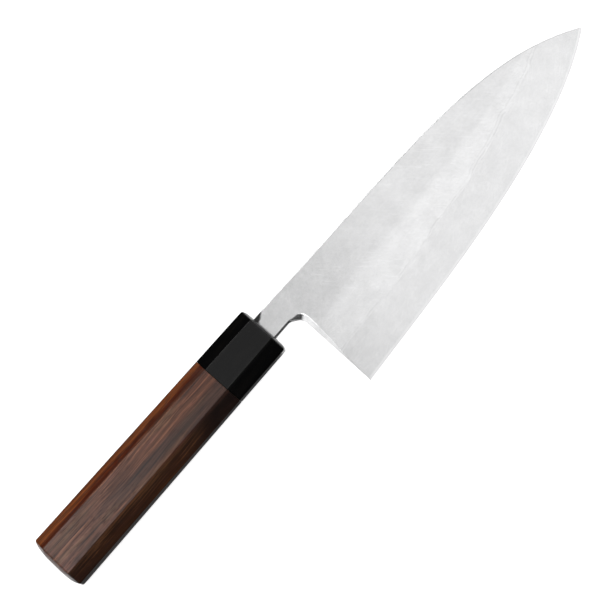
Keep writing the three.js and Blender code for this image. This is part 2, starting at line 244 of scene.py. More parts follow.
# The weld line keeps its distance from the edge until it runs out at the spine, short of the tip
tryShares = np.linspace(0.5, 1, 4000)
tryWidth, trySquare = sections(tryShares)[2:]
runOutWidth = 0.985
runOut = tryShares[np.argmax(bevelReach(weldHeight(tryShares)) / trySquare > runOutWidth * tryWidth)]
heelSpan, heelSteps, runSteps, spreading = 0.022, 51, 161, 1.5
nearHeel = np.linspace(0, heelSpan, heelSteps)  # close together, for the chamfer down the heel
pastHeel = nearHeel[-1] + (runOut - nearHeel[-1]) * np.linspace(0, 1, runSteps)[1:]**spreading
heelShares = np.concatenate([nearHeel, pastHeel])
tipShares = runOut + (1 - runOut) * np.sin(np.pi / 2 * np.linspace(0, 1, 25)[1:])
bladeShares = np.concatenate([heelShares, tipShares])


# Rows of each blade section, spread evenly between edge, micro-bevel, weld line, ridge, the line above it
# that starts at the choil, and spine
def bladeColumns(shares):
    edge, across, width, square = sections(shares)
    tipShare = np.clip((shares - runOut) / (1 - runOut), 0, 1)
    most = mix(runOutWidth, blade["tipWeld"], tipShare) * width
    weld = np.minimum(bevelReach(weldHeight(shares)) / square, most)
    micro = np.minimum(blade["microWidth"] / square, weld / 3)
    ridge = np.minimum(bevelReach(flatThickness(shares)) / square, (weld + width) / 2)
    aboveRidge = ridge + np.minimum(blade["ridgeStep"], (width - ridge) / 4)
    keys = np.stack([micro, weld - micro, ridge - weld, aboveRidge - ridge, width - aboveRidge], -1)
    along = (keys[:, None, :] * np.clip(rowPlace[:, None] - np.arange(5), 0, 1)).sum(-1)
    plan = edge[:, None, :] + across[:, None, :] * along[..., None]
    share = np.broadcast_to(shares[:, None], along.shape)
    distance = along * square[:, None]
    reach = (width * square)[:, None]
    front = frontHeight(distance, share)
    back = hollowHeight(distance, reach, share)
    fromWeld = distance - (weld * square)[:, None]
    return {"plan": plan, "share": share, "front": front, "back": back, "fromEdge": distance,
            "fromWeld": fromWeld, "fromSpine": width[:, None] - along, "weld": weldHeight(share)}


# Rows of the tang, the neck and the choil: straight up from the underside to the spine
def neckColumns():
    root, seat = -blade["tangRoot"], -blade["neckSeat"]
    start = -blade["tangLength"]
    choilTurn = np.linspace(0, np.pi / 2, 25)[:-1]
    choilX = choilEnd[0] - blade["choilRadius"] * (1 - np.sin(choilTurn))
    x = np.concatenate([np.linspace(start, root, 9), [seat], np.linspace(seat, choilX[0], 16)[1:-1], choilX])
    bottoms = [-blade["tangEndHeight"] / 2, -blade["tangRootHeight"] / 2, -blade["neckDrop"]]
    tops = [blade["tangEndHeight"] / 2, blade["tangRootHeight"] / 2, blade["spineRise"]]
    thick = [blade["tangEndThickness"], blade["thickness"], blade["thickness"]]
    inChoil = np.maximum(x - choilCentre[0], 0)
    drop = blade["choilRadius"] - np.sqrt(blade["choilRadius"]**2 - inChoil**2)
    bottom = np.interp(x, [start, root, seat], bottoms) - drop
    top = np.interp(x, [start, root, seat], tops)
    thickness = np.interp(x, [start, root, seat], thick)
    y = bottom[:, None] + (top - bottom)[:, None] * np.clip(rowPlace - len(rowCounts), 0, 1)
    front = np.broadcast_to(thickness[:, None], y.shape)
    flat = np.zeros(y.shape)
    fromEdge = y + blade["heelDrop"]
    return {"plan": np.stack([np.broadcast_to(x[:, None], y.shape), y], -1), "share": flat, "front": front,
            "back": flat, "fromEdge": fromEdge, "fromWeld": fromEdge - bevelReach(blade["steel"]),
            "fromSpine": top[:, None] - y, "weld": np.minimum(blade["steel"], front / 2)}


# Eases the corners of the front and the back, and keeps the iron on top of the weld
def bladeGrid():
    neck, body = neckColumns(), bladeColumns(bladeShares)
    grid = {key: np.concatenate([neck[key], body[key]]) for key in neck}
    rows = np.arange(spineRow + 1)[None, :]
    columns = np.arange(len(grid["front"]))[:, None]
    inNeck = columns < len(neck["front"])
    grid["solid"] = (rows[:, :-1] >= choilRow) | ~inNeck[:-1]
    lastClad = len(neck["front"]) + len(heelShares) - 1
    grid["clad"] = (rows >= weldRow) & (columns <= lastClad)
    thickness = grid["front"]
    spineRadius = np.minimum(blade["spineRound"], 0.3 * thickness)
    distance, heelFall = heelCorners(grid["plan"])
    eased = thickness - np.maximum(roundFall(grid["fromSpine"], spineRadius), heelFall)
    grid["front"] = np.maximum(eased, 0.5 * thickness)
    thinnest = blade["ironWedge"] * np.maximum(grid["fromWeld"], 0)
    ironFree = (rows <= weldRow) & ~inNeck
    grid["weld"] = np.where(ironFree, grid["front"], np.minimum(grid["weld"], grid["front"] - thinnest))
    backRadius = np.minimum(blade["backRound"], 0.2 * thickness)
    backFall = np.maximum(roundFall(grid["fromSpine"], backRadius), roundFall(distance, backRadius))
    grid["back"] = grid["back"] + backFall
    return grid


# Closes the space between two height fields over the chosen cells: a face above, a face below and a wall
# wherever a chosen cell has no neighbour
def platePiece(grid, lower, upper, cells):
    plan = grid["plan"]
    base = -blade["thickness"] / 2
    heights = (upper, lower)
    points = np.concatenate([np.dstack([plan, base + height]).reshape(-1, 3) for height in heights])
    columns, rows = lower.shape
    top = np.arange(columns * rows).reshape(columns, rows)
    bottom = top + columns * rows
    corners = lambda ids: np.stack([ids[:-1, :-1], ids[1:, :-1], ids[1:, 1:], ids[:-1, 1:]], -1)[cells]
    padded = np.pad(cells, 1)
    faces = [corners(top), corners(bottom)[:, ::-1]]
    along = np.stack([top[:-1], bottom[:-1], bottom[1:], top[1:]], -1)
    faces.append(along[padded[1:-1, 1:] & ~padded[1:-1, :-1]])
    faces.append(along[padded[1:-1, :-1] & ~padded[1:-1, 1:]][:, ::-1])
    across = np.stack([top[:, 1:], bottom[:, 1:], bottom[:, :-1], top[:, :-1]], -1)
    faces.append(across[padded[1:, 1:-1] & ~padded[:-1, 1:-1]])
    faces.append(across[padded[:-1, 1:-1] & ~padded[1:, 1:-1]][:, ::-1])
    places = np.dstack([plan[..., 0], grid["fromEdge"], grid["fromWeld"]]).reshape(-1, 3)
    return points, np.concatenate(faces), {"bladeMap": np.concatenate([places, places])}


# Handle: an octagon with equal corner cuts that tapers from the butt to the ferrule's front
handle = {
    "gripLength": 100.9, "ferruleLength": 28.5, "buttHeight": 25.85, "buttThickness": 20,
    "mouthHeight": 23.7, "mouthThickness": 17.71, "buttCut": 5.6, "mouthCut": 6.2, "edgeRound": 0.22,
    "jointEase": 0.08, "buttEase": 1.2, "buttRim": 1.8, "buttCrown": 1.63, "crownPower": 4, "buttSlant": 2,
    "mouthEase": 1.6, "mouthDome": 3.4, "ferruleWall": 9, "dowelLength": 50, "dowelWall": 1.2,
    "tangGap": 0.3, "glueGap": 0.1,
}


# Octagon rings with rounded corners: an arc of 45 degrees at each corner and evenly spread points on each
# flat
def octagonRings(x, inset, rounding):
    arcSteps, flatSteps = 4, 6
    handleLength = handle["gripLength"] + handle["ferruleLength"]
    share = (x + handleLength) / handleLength
    halfHeight = mix(handle["buttHeight"], handle["mouthHeight"], share) / 2 - inset
    halfThickness = mix(handle["buttThickness"], handle["mouthThickness"], share) / 2 - inset
    cut = mix(handle["buttCut"], handle["mouthCut"], share) - inset * (2 - np.sqrt(2))
    inner = halfThickness - cut
    outer = halfHeight - cut
    y = np.stack([halfHeight, outer, -outer, -halfHeight], -1)
    z = np.stack([inner, halfThickness, halfThickness, inner], -1)
    y = np.concatenate([y, -y], -1)
    z = np.concatenate([z, -z], -1)
    middle = np.radians(45 * np.arange(8) + 22.5)
    toCentre = rounding / np.cos(np.pi / 8)
    centre = np.stack([y - toCentre[:, None] * np.cos(middle), z - toCentre[:, None] * np.sin(middle)], -1)
    turn = np.radians(45 * (np.arange(8)[:, None] + np.linspace(0, 1, arcSteps + 1)))
    arcs = centre[:, :, None, :] + rounding[:, None, None, None] * np.stack([np.cos(turn), np.sin(turn)], -1)
    nextArc = np.roll(arcs, -1, axis=1)
    between = np.linspace(0, 1, flatSteps + 1)[1:-1, None]
    flats = arcs[:, :, -1:, :] + (nextArc[:, :, :1, :] - arcs[:, :, -1:, :]) * between
    rings = np.concatenate([arcs, flats], axis=2).reshape(len(x), -1, 2)
    worn = np.concatenate([np.ones(arcSteps + 1), np.zeros(flatSteps - 1)])
    return rings, np.tile(worn, 8)


# A circle or a rectangle with as many points as the octagon, each in the same direction from the middle
def circleRing(ring, radius):
    return ring / np.linalg.norm(ring, axis=-1, keepdims=True) * radius


def rectangleRing(ring, low, high):
    half, middle = (np.array(high) - low) / 2, (np.array(high) + low) / 2
    points = ring / np.max(np.abs(ring) / half, axis=-1, keepdims=True)
    corners = half * np.array([[1, 1], [-1, 1], [-1, -1], [1, -1]])
    nearest = np.argmax(circleRing(ring, 1) @ circleRing(corners, 1).T, axis=0)
    points[nearest] = corners
    return points + middle


# Joins rings into one skin. It closes on the middle point of each end ring, or back on itself where it goes
# round.
def ringSkin(x, rings, goesRound=False):
    count, sides = rings.shape[:2]
    x = np.broadcast_to(np.asarray(x, float).reshape(count, -1), (count, sides))
    points = np.dstack([x, rings])
    if not goesRound:
        ends = points[[0, -1]].mean(axis=1, keepdims=True)
        points = np.concatenate([np.broadcast_to(ends[0], points[:1].shape), points,
                                 np.broadcast_to(ends[1], points[:1].shape)])
    ids = np.arange(points.shape[0] * sides).reshape(-1, sides)
    if goesRound:
        ids = np.concatenate([ids, ids[:1]])
    nextSide = np.roll(ids, -1, axis=1)
    faces = np.stack([ids[:-1], nextSide[:-1], nextSide[1:], ids[1:]], -1).reshape(-1, 4)
    return points.reshape(-1, 3), faces


# Stations that round an end over: an arc from the slope of the end's face to the full section
def easeStations(end, ease, direction, slope=0, steps=13):
    turn = np.linspace(np.arctan(slope), np.pi / 2, steps)
    return end + direction * ease * (np.cos(turn[0]) - np.cos(turn)), ease * (1 - np.sin(turn))


tangRootHalf = blade["tangRootHeight"] / 2 + handle["tangGap"]
tangHalfThick = blade["thickness"] / 2 + handle["tangGap"]
dowelRadius = np.hypot(tangRootHalf + handle["dowelWall"], tangHalfThick)
boreRadius = dowelRadius + handle["glueGap"]
boreEnd = -handle["ferruleWall"] - 2 * handle["glueGap"] - handle["dowelLength"]


# The room for the tang: its outline and thickness at a station, grown by the gap
def tangRoom(x, ring):
    stations = [-blade["tangLength"], -blade["tangRoot"], -blade["neckSeat"]]
    gap, back = handle["tangGap"], -blade["thickness"] / 2
    endHalf, rootHalf = blade["tangEndHeight"] / 2, blade["tangRootHeight"] / 2
    bottom = np.interp(x, stations, [-endHalf, -rootHalf, -blade["neckDrop"]])
    top = np.interp(x, stations, [endHalf, rootHalf, blade["spineRise"]])
    thick = np.interp(x, stations, [blade["tangEndThickness"], blade["thickness"], blade["thickness"]])
    return rectangleRing(ring, (bottom - gap, back - gap), (top + gap, back + thick + gap))


# Length, height and worn corners at each point of the handle
def wearMap(points, ringWorn):
    worn = np.resize(ringWorn, len(points))
    return {"handleMap": np.stack([points[:, 0], points[:, 1], worn], -1)}


# Grip: the domed butt, which falls off from its middle by a power of the way to its rim, then the tapered
# octagon, and back in through the bore and the tang's pocket
def gripPiece():
    length = handle["gripLength"] + handle["ferruleLength"]
    butt = -length + handle["buttRim"]
    front = -handle["ferruleLength"] - handle["glueGap"]
    rimSlope = handle["crownPower"] * handle["buttCrown"] * 2 / handle["buttHeight"]
    easeX, easeInset = easeStations(butt, handle["buttEase"], 1, rimSlope)
    runX = np.linspace(easeX[-1], front - handle["jointEase"], 30)[1:]
    x = np.concatenate([easeX, runX, [front]])
    inset = np.concatenate([easeInset, 0 * runX, [handle["jointEase"]]])
    outer, ringWorn = octagonRings(x, inset, np.full(len(x), handle["edgeRound"]))
    grow = np.linspace(0, 1, 17)[1:-1]
    crownX = butt - handle["buttCrown"] * (1 - grow ** handle["crownPower"])
    crown = outer[0] * grow[:, None, None]
    pole = np.zeros((1, *outer[0].shape))
    ring = outer[-1]
    bore = circleRing(ring, boreRadius)
    pocketEnd = -blade["tangLength"] - handle["tangGap"]
    inside = np.stack([bore, bore, tangRoom(boreEnd, ring), tangRoom(pocketEnd, ring)])
    xs = np.concatenate([[butt - handle["buttCrown"]], crownX, x, [front, boreEnd, boreEnd, pocketEnd]])
    rings = np.concatenate([pole, crown, outer, inside])
    slant = np.tan(np.radians(handle["buttSlant"])) * (xs <= easeX[-1])
    points, faces = ringSkin(xs[:, None] + slant[:, None] * rings[..., 0], rings)
    return points, faces, wearMap(points, ringWorn)


# Ferrule: the octagon up to its rounded mouth, then in through the seal's seat, the slot and the dowel's bore
def ferrulePiece():
    rear, glue = -handle["ferruleLength"], handle["glueGap"]
    easeX, easeInset = easeStations(0, handle["mouthEase"], -1)
    easeInset = easeInset * handle["mouthDome"] / handle["mouthEase"]
    runX = np.linspace(rear + handle["jointEase"], easeX[-1], 12)[:-1]
    x = np.concatenate([[rear], runX, easeX[::-1]])
    inset = np.concatenate([[handle["jointEase"]], 0 * runX, easeInset[::-1]])
    outer, ringWorn = octagonRings(x, inset, np.full(len(x), handle["edgeRound"]))
    ring = outer[-1]
    seat = sealRing(ring, seal["wall"])
    seatEnd = -seal["depth"] - glue
    wallEnd = -handle["ferruleWall"]
    bore = circleRing(ring, boreRadius)
    inside = np.stack([seat, seat, tangRoom(seatEnd, ring), tangRoom(wallEnd, ring), bore, bore])
    xs = np.concatenate([x, [0, seatEnd, seatEnd, wallEnd, wallEnd, rear]])
    points, faces = ringSkin(xs, np.concatenate([outer, inside]), goesRound=True)
    return points, faces, wearMap(points, ringWorn)


# Resin seal round the neck: sink is how far it lies below the ferrule's front, climb how far up the neck
seal = {"depth": 3, "wall": 0.9, "sink": 0.1, "climb": 0.12, "skin": 0.03}


# The neck's section grown by spread
def sealRing(ring, spread):
    half = blade["thickness"] / 2 + spread
    return rectangleRing(ring, (-blade["neckDrop"] - spread, -half), (blade["spineRise"] + spread, half))


# Seal: a collar that fills its seat, with a hollow fillet that climbs a little way up the neck
def sealPiece():
    ring, ringWorn = octagonRings(np.zeros(1), np.zeros(1), np.full(1, handle["edgeRound"]))
    outside = seal["wall"] - handle["glueGap"]
    turn = np.linspace(0, np.pi / 2, 8)
    fillet = mix(seal["skin"], outside, 1 - np.sin(turn))
    climb = -seal["sink"] + (seal["climb"] + seal["sink"]) * (1 - np.cos(turn))
    spread = np.concatenate([[outside, outside], fillet, [seal["skin"]]])
    x = np.concatenate([[-seal["depth"], -seal["sink"]], climb, [-seal["depth"]]])
    rings = np.stack([sealRing(ring[0], grow) for grow in spread])
    points, faces = ringSkin(x, rings, goesRound=True)
    return points, faces, wearMap(points, ringWorn)


# Node helpers. What addNode is given for an input is either a socket to link or a value to set.
def addNode(tree, kind, inputs, **settings):
    node = tree.nodes.new("ShaderNode" + kind)
    for name, value in settings.items():
        setattr(node, name, value)
    for name, value in inputs.items():
        if isinstance(value, bpy.types.NodeSocket):
            tree.links.new(value, node.inputs[name])
        else:
            node.inputs[name].default_value = value
    return node


# One sum, product or other step of arithmetic
def calc(tree, operation, a, b=0.5):
    return addNode(tree, "Math", {0: a, 1: b}, operation=operation).outputs[0]


# The product of two values
def times(tree, a, b):
    return calc(tree, "MULTIPLY", a, b)


# The first value plus all the others
def addUp(tree, first, *others):
    for other in others:
        first = calc(tree, "ADD", first, other)
    return first


# Strength times how far a 0 to 1 pattern is from its middle
def sway(tree, pattern, strength):
    return times(tree, calc(tree, "SUBTRACT", pattern, 0.5), strength)


# Soft step: 0 at low and 1 at high, also where low is the larger
def softMask(tree, value, low, high):
    span = {"Value": value, "From Min": low, "From Max": high}
    return addNode(tree, "MapRange", span, interpolation_type="SMOOTHSTEP").outputs["Result"]


# A band: 1 at the middle value, 0 beyond half the width
def bandMask(tree, value, middle, width):
    away = calc(tree, "ABSOLUTE", calc(tree, "SUBTRACT", value, middle))
    return softMask(tree, away, width / 2, width / 6)


# Colour a blended with b by a share
def mixColours(tree, share, a, b, blend="MIX"):
    colours = [value if isinstance(value, bpy.types.NodeSocket) else (*value, 1) for value in (a, b)]
    inputs = {0: share, 6: colours[0], 7: colours[1]}
    return addNode(tree, "Mix", inputs, data_type="RGBA", blend_type=blend).outputs[2]


# Noise with cells of the given size in millimetres along each axis
def noise(tree, place, size, detail=3, roughness=0.55):
    scaled = addNode(tree, "VectorMath", {0: place, 1: size}, operation="DIVIDE").outputs[0]
    inputs = {"Vector": scaled, "Scale": 1, "Detail": detail, "Roughness": roughness}
    return addNode(tree, "TexNoise", inputs).outputs["Fac"]


# Object coordinates brought into the knife's own frame, in millimetres
def knifePlace(tree):
    lean, turn, start = knifePose()
    place = addNode(tree, "TexCoord", {}).outputs["Object"]
    inputs = {"Vector": place, "Rotation": (0, -lean, 0), "Scale": (1000, 1000, 1000)}
    inputs["Location"] = -1000 * (turn.T @ start)
    return addNode(tree, "Mapping", inputs).outputs[0]


# The three values of a piece's map
def readMap(tree, name):
    vector = addNode(tree, "Attribute", {}, attribute_name=name).outputs["Vector"]
    return addNode(tree, "SeparateXYZ", {0: vector}).outputs


# An empty node group: Place is a vector, the rest are numbers
def newGroup(name, inputs, outputs):
    group = bpy.data.node_groups.new(name, "ShaderNodeTree")
    for title in inputs:
        kind = "NodeSocketVector" if title == "Place" else "NodeSocketFloat"
        group.interface.new_socket(title, in_out="INPUT", socket_type=kind)
    for title in outputs:
        group.interface.new_socket(title, in_out="OUTPUT", socket_type="NodeSocketFloat")
    given = group.nodes.new("NodeGroupInput").outputs
    result = group.nodes.new("NodeGroupOutput").inputs
    return group, given, result


# Clouds are soft patches of the given size, specks are a sixth of it
def cloudGroup():
    tree, given, result = newGroup("cloudMottle", ("Place", "Size"), ("Clouds", "Specks"))
    size = addNode(tree, "CombineXYZ", {axis: given["Size"] for axis in range(3)}).outputs[0]
    fine = addNode(tree, "VectorMath", {0: size, "Scale": 0.16}, operation="SCALE").outputs[0]
    tree.links.new(noise(tree, given["Place"], size, 5, 0.6), result["Clouds"])
    tree.links.new(noise(tree, given["Place"], fine, 3, 0.6), result["Specks"])
    return tree


# Thin lines: the peaks of a noise drawn out along X
def lineGroup():
    tree, given, result = newGroup("brushLines", ("Place", "Length", "Width"), ("Lines",))
    size = addNode(tree, "CombineXYZ", {0: given["Length"], 1: given["Width"], 2: given["Width"]}).outputs[0]
    tree.links.new(softMask(tree, noise(tree, given["Place"], size, 2), 0.55, 0.75), result["Lines"])
    return tree


# Wood: rings are the fraction of the distance from a pith beside the piece, streaks and pores are noises
# drawn out along the grain, and all of them sway with a slow noise
def woodGroup():
    sizes = ("Ring Width", "Streak Width", "Pore Width")
    tree, given, result = newGroup("woodFigure", ("Place", *sizes), ("Rings", "Streaks", "Pores"))
    slow = addNode(tree, "VectorMath", {0: given["Place"], 1: (70, 16, 16)}, operation="DIVIDE").outputs[0]
    swell = addNode(tree, "TexNoise", {"Vector": slow, "Scale": 1, "Detail": 2}).outputs["Color"]
    swell = addNode(tree, "VectorMath", {0: swell, 1: (0, 6, 6)}, operation="MULTIPLY").outputs[0]
    place = addNode(tree, "VectorMath", {0: given["Place"], 1: swell}, operation="ADD").outputs[0]
    fromPith = addNode(tree, "VectorMath", {0: place, 1: (0, 30, -34)}, operation="SUBTRACT").outputs[0]
    fromPith = addNode(tree, "VectorMath", {0: fromPith, 1: (0, 1, 1)}, operation="MULTIPLY").outputs[0]
    radius = addNode(tree, "VectorMath", {0: fromPith}, operation="LENGTH").outputs["Value"]
    ring = calc(tree, "FRACT", calc(tree, "DIVIDE", radius, given["Ring Width"]))
    late = times(tree, softMask(tree, ring, 0.35, 0.9), softMask(tree, ring, 1, 0.94))
    tree.links.new(late, result["Rings"])
    patterns = {}
    for name, length, detail in (("Streak Width", 60, 4), ("Pore Width", 22, 1)):
        along = times(tree, given[name], length)
        size = addNode(tree, "CombineXYZ", {0: along, 1: given[name], 2: given[name]}).outputs[0]
        patterns[name] = noise(tree, place, size, detail, 0.6)
    tree.links.new(patterns["Streak Width"], result["Streaks"])
    tree.links.new(softMask(tree, patterns["Pore Width"], 0.6, 0.68), result["Pores"])
    return tree


# Wear: the map's worn edges, broken up by a noise
def wearGroup():
    tree, given, result = newGroup("edgeWear", ("Place", "Worn"), ("Wear",))
    ragged = addUp(tree, given["Worn"], sway(tree, noise(tree, given["Place"], (6, 1.2, 1.2)), 1.4))
    tree.links.new(softMask(tree, ragged, 0.55, 1.15), result["Wear"])
    return tree


cloudMottle = cloudGroup()
brushLines = lineGroup()
woodFigure = woodGroup()
edgeWear = wearGroup()


# A new material with its node tree and shader inputs
def newFinish(name):
    material = bpy.data.materials.new(name)
    material.use_nodes = True
    tree = material.node_tree
    return material, tree, tree.nodes["Principled BSDF"].inputs


# Bump with a depth in millimetres
def addBump(tree, shader, height, depth):
    inputs = {"Height": height, "Distance": depth * 0.001, "Strength": 1}
    tree.links.new(addNode(tree, "Bump", inputs).outputs[0], shader["Normal"])


strokeSizes = ((26, 0.35), (9, 0.6))  # length and width: lengthwise lines, slanted lines


# Satin metal: 1 plus the sway of its clouds and specks, plus lengthwise lines and lines at a slant
def satinTone(tree, place, finish):
    mottle = addNode(tree, "Group", {"Place": place, "Size": finish["cloudSize"]}, node_tree=cloudMottle)
    slanted = addNode(tree, "Mapping", {"Vector": place, "Rotation": (0, 0, finish["slant"])}).outputs[0]
    strokes = []
    for lay, (length, width) in zip((place, slanted), strokeSizes):
        inputs = {"Place": lay, "Length": length, "Width": width}
        strokes.append(addNode(tree, "Group", inputs, node_tree=brushLines).outputs["Lines"])
    clouds, specks = mottle.outputs["Clouds"], mottle.outputs["Specks"]
    tone = addUp(tree, sway(tree, clouds, finish["clouds"]), sway(tree, specks, finish["specks"]), 1)
    for stroke, strength in zip(strokes, finish["strokes"]):
        tone = addUp(tree, tone, times(tree, stroke, strength))
    return tone, clouds, specks, strokes


# Iron: the satin tone, a thin dark line along the weld, a second one towards the tip, and a dark patch at the
# neck's spine beside the ferrule
ironFinish = {
    "colour": (0.815, 0.815, 0.82), "roughness": 0.23, "cloudSize": 9, "clouds": 0.3, "specks": 0.16,
    "slant": 0.9, "strokes": (0.04, 0.06), "weldLine": -0.07, "secondLine": -0.05, "neckPatch": 0.045,
    "lineBand": (0.6, 0.9), "secondBand": (1.9, 0.7), "secondFrom": (80, 120), "neckPatchFrom": (48.4, 49.6),
}


def ironMaterial():
    material, tree, shader = newFinish("softIron")
    place = knifePlace(tree)
    tone, _, specks, strokes = satinTone(tree, place, ironFinish)
    x, fromEdge, fromWeld = readMap(tree, "bladeMap")
    wavy = addUp(tree, fromWeld, sway(tree, noise(tree, place, (9, 9, 9)), 3.4))
    broken = softMask(tree, noise(tree, place, (16, 5, 5)), 0.36, 0.56)
    line = times(tree, bandMask(tree, wavy, *ironFinish["lineBand"]), broken)
    towardsTip = softMask(tree, x, *ironFinish["secondFrom"])
    second = times(tree, bandMask(tree, wavy, *ironFinish["secondBand"]), towardsTip)
    tone = addUp(tree, tone, times(tree, line, ironFinish["weldLine"]),
                 times(tree, second, ironFinish["secondLine"]))
    # A dark patch on the neck's spine beside the ferrule
    ragged = sway(tree, noise(tree, place, (1.6, 0.9, 0.9)), 1.5)
    height = addUp(tree, fromEdge, ragged, times(tree, x, -0.6))
    neckPatch = softMask(tree, height, *ironFinish["neckPatchFrom"])
    colour = mixColours(tree, 1, ironFinish["colour"], tone, "MULTIPLY")
    colour = mixColours(tree, neckPatch, colour, (ironFinish["neckPatch"],) * 3)
    tree.links.new(colour, shader["Base Color"])
    shader["Metallic"].default_value = 1
    tree.links.new(addUp(tree, sway(tree, specks, 0.1), ironFinish["roughness"]), shader["Roughness"])
    addBump(tree, shader, addUp(tree, specks, strokes[0]), 0.004)
    return material


# Steel: the satin tone, a bright cloudy band below the weld near the heel, a painted highlight on the
# micro-bevel and a painted reflection that rises towards the tip
steelFinish = {
    "colour": (0.758, 0.758, 0.763), "roughness": 0.21, "cloudSize": 7, "clouds": 0.22, "specks": 0.14,
    "slant": -0.6, "strokes": (0.04, 0.04), "weldBand": 0.04, "microHighlight": 0.06, "tip": 0.05,
    "bandFade": (110, 40), "microFrom": (1.2, 1), "tipFrom": (95, 150),
}


def steelMaterial():
    material, tree, shader = newFinish("hardSteel")
    place = knifePlace(tree)
    tone, clouds, specks, strokes = satinTone(tree, place, steelFinish)
    x, fromEdge, fromWeld = readMap(tree, "bladeMap")
    band = times(tree, softMask(tree, fromWeld, -4.5, -1.5), softMask(tree, fromWeld, 0, -0.6))
    band = times(tree, band, softMask(tree, x, *steelFinish["bandFade"]))
    band = times(tree, band, softMask(tree, clouds, 0.35, 0.65))
    # Painted highlight: the micro-bevel's colour is brightened
    micro = softMask(tree, fromEdge, *steelFinish["microFrom"])
    # The rise towards the tip is a painted reflection
    tone = addUp(tree, tone, times(tree, band, steelFinish["weldBand"]),
                 times(tree, micro, steelFinish["microHighlight"]),
                 times(tree, softMask(tree, x, *steelFinish["tipFrom"]), steelFinish["tip"]))
    tree.links.new(mixColours(tree, 1, steelFinish["colour"], tone, "MULTIPLY"), shader["Base Color"])
    shader["Metallic"].default_value = 1
    tree.links.new(addUp(tree, sway(tree, specks, 0.1), steelFinish["roughness"]), shader["Roughness"])
    addBump(tree, shader, addUp(tree, specks, strokes[0]), 0.003)
    return material


# Horn: near black with grey-brown marbling, fine scratches and dull worn edges
hornFinish = {
    "colour": (0.0012, 0.0012, 0.0014), "marble": (0.004, 0.0034, 0.003), "worn": (0.006, 0.0055, 0.005),
    "cloudSize": 6, "roughness": 0.2, "wornRoughness": 0.1, "shine": 0.33,
}


def hornMaterial():
    material, tree, shader = newFinish("blackHorn")
    place = knifePlace(tree)
    drawn = addNode(tree, "VectorMath", {0: place, 1: (0.35, 1, 1)}, operation="MULTIPLY").outputs[0]
    mottle = addNode(tree, "Group", {"Place": drawn, "Size": hornFinish["cloudSize"]}, node_tree=cloudMottle)
    scratches = addNode(tree, "Group", {"Place": place, "Length": 7, "Width": 0.16}, node_tree=brushLines)
    worn = readMap(tree, "handleMap")[2]
    wear = addNode(tree, "Group", {"Place": place, "Worn": worn}, node_tree=edgeWear).outputs["Wear"]
    marble = softMask(tree, mottle.outputs["Clouds"], 0.48, 0.72)
    colour = mixColours(tree, marble, hornFinish["colour"], hornFinish["marble"])
    tree.links.new(mixColours(tree, wear, colour, hornFinish["worn"]), shader["Base Color"])
    lines = scratches.outputs["Lines"]
    roughness = addUp(tree, sway(tree, mottle.outputs["Specks"], 0.08), hornFinish["roughness"],
                      times(tree, wear, hornFinish["wornRoughness"]),
                      times(tree, lines, 0.08))
    tree.links.new(roughness, shader["Roughness"])
    shader["Specular IOR Level"].default_value = hornFinish["shine"]
    addBump(tree, shader, addUp(tree, mottle.outputs["Specks"], lines), 0.004)
    return material


# Rosewood: streaks and rings share a ramp from dark to light, with pinker and yellower patches and a grey
# streak that widens towards the ferrule. The spine side is red with an orange outer band, painted light for
# the key lamp on the upper facet. The edge side is painted shade for the lower facet: dark brown, darker
# towards its lower edge, that turns black beside the ferrule and partly at the butt.
roseFinish = {
    "dark": (0.045, 0.016, 0.010), "mid": (0.13, 0.047, 0.026), "light": (0.25, 0.105, 0.055),
    "pink": (0.22, 0.085, 0.065), "olive": (0.17, 0.10, 0.05), "grey": (0.05, 0.025, 0.019),
    "red": (0.078, 0.011, 0.001), "orange": (0.23, 0.062, 0.015), "edgeShade": (0.055, 0.017, 0.005),
    "brown": (0.15, 0.064, 0.026), "black": (0.009, 0.003, 0.002), "roughness": 0.34, "shine": 0.4,
    "ringWidth": 3.4, "streakWidth": 0.8, "poreWidth": 0.32, "poreDark": 0.85, "patches": 0.4,
    "streakGrey": 0.8, "grain": 2.6,
    "spineSide": (6.8, 8), "orangeFrom": (8.6, 10.4), "edgeSide": (-6.4, -7.6), "brownFrom": (-9.8, -7.8),
    "blackFrom": (-62, -38), "buttBlack": (-108, -121),
}


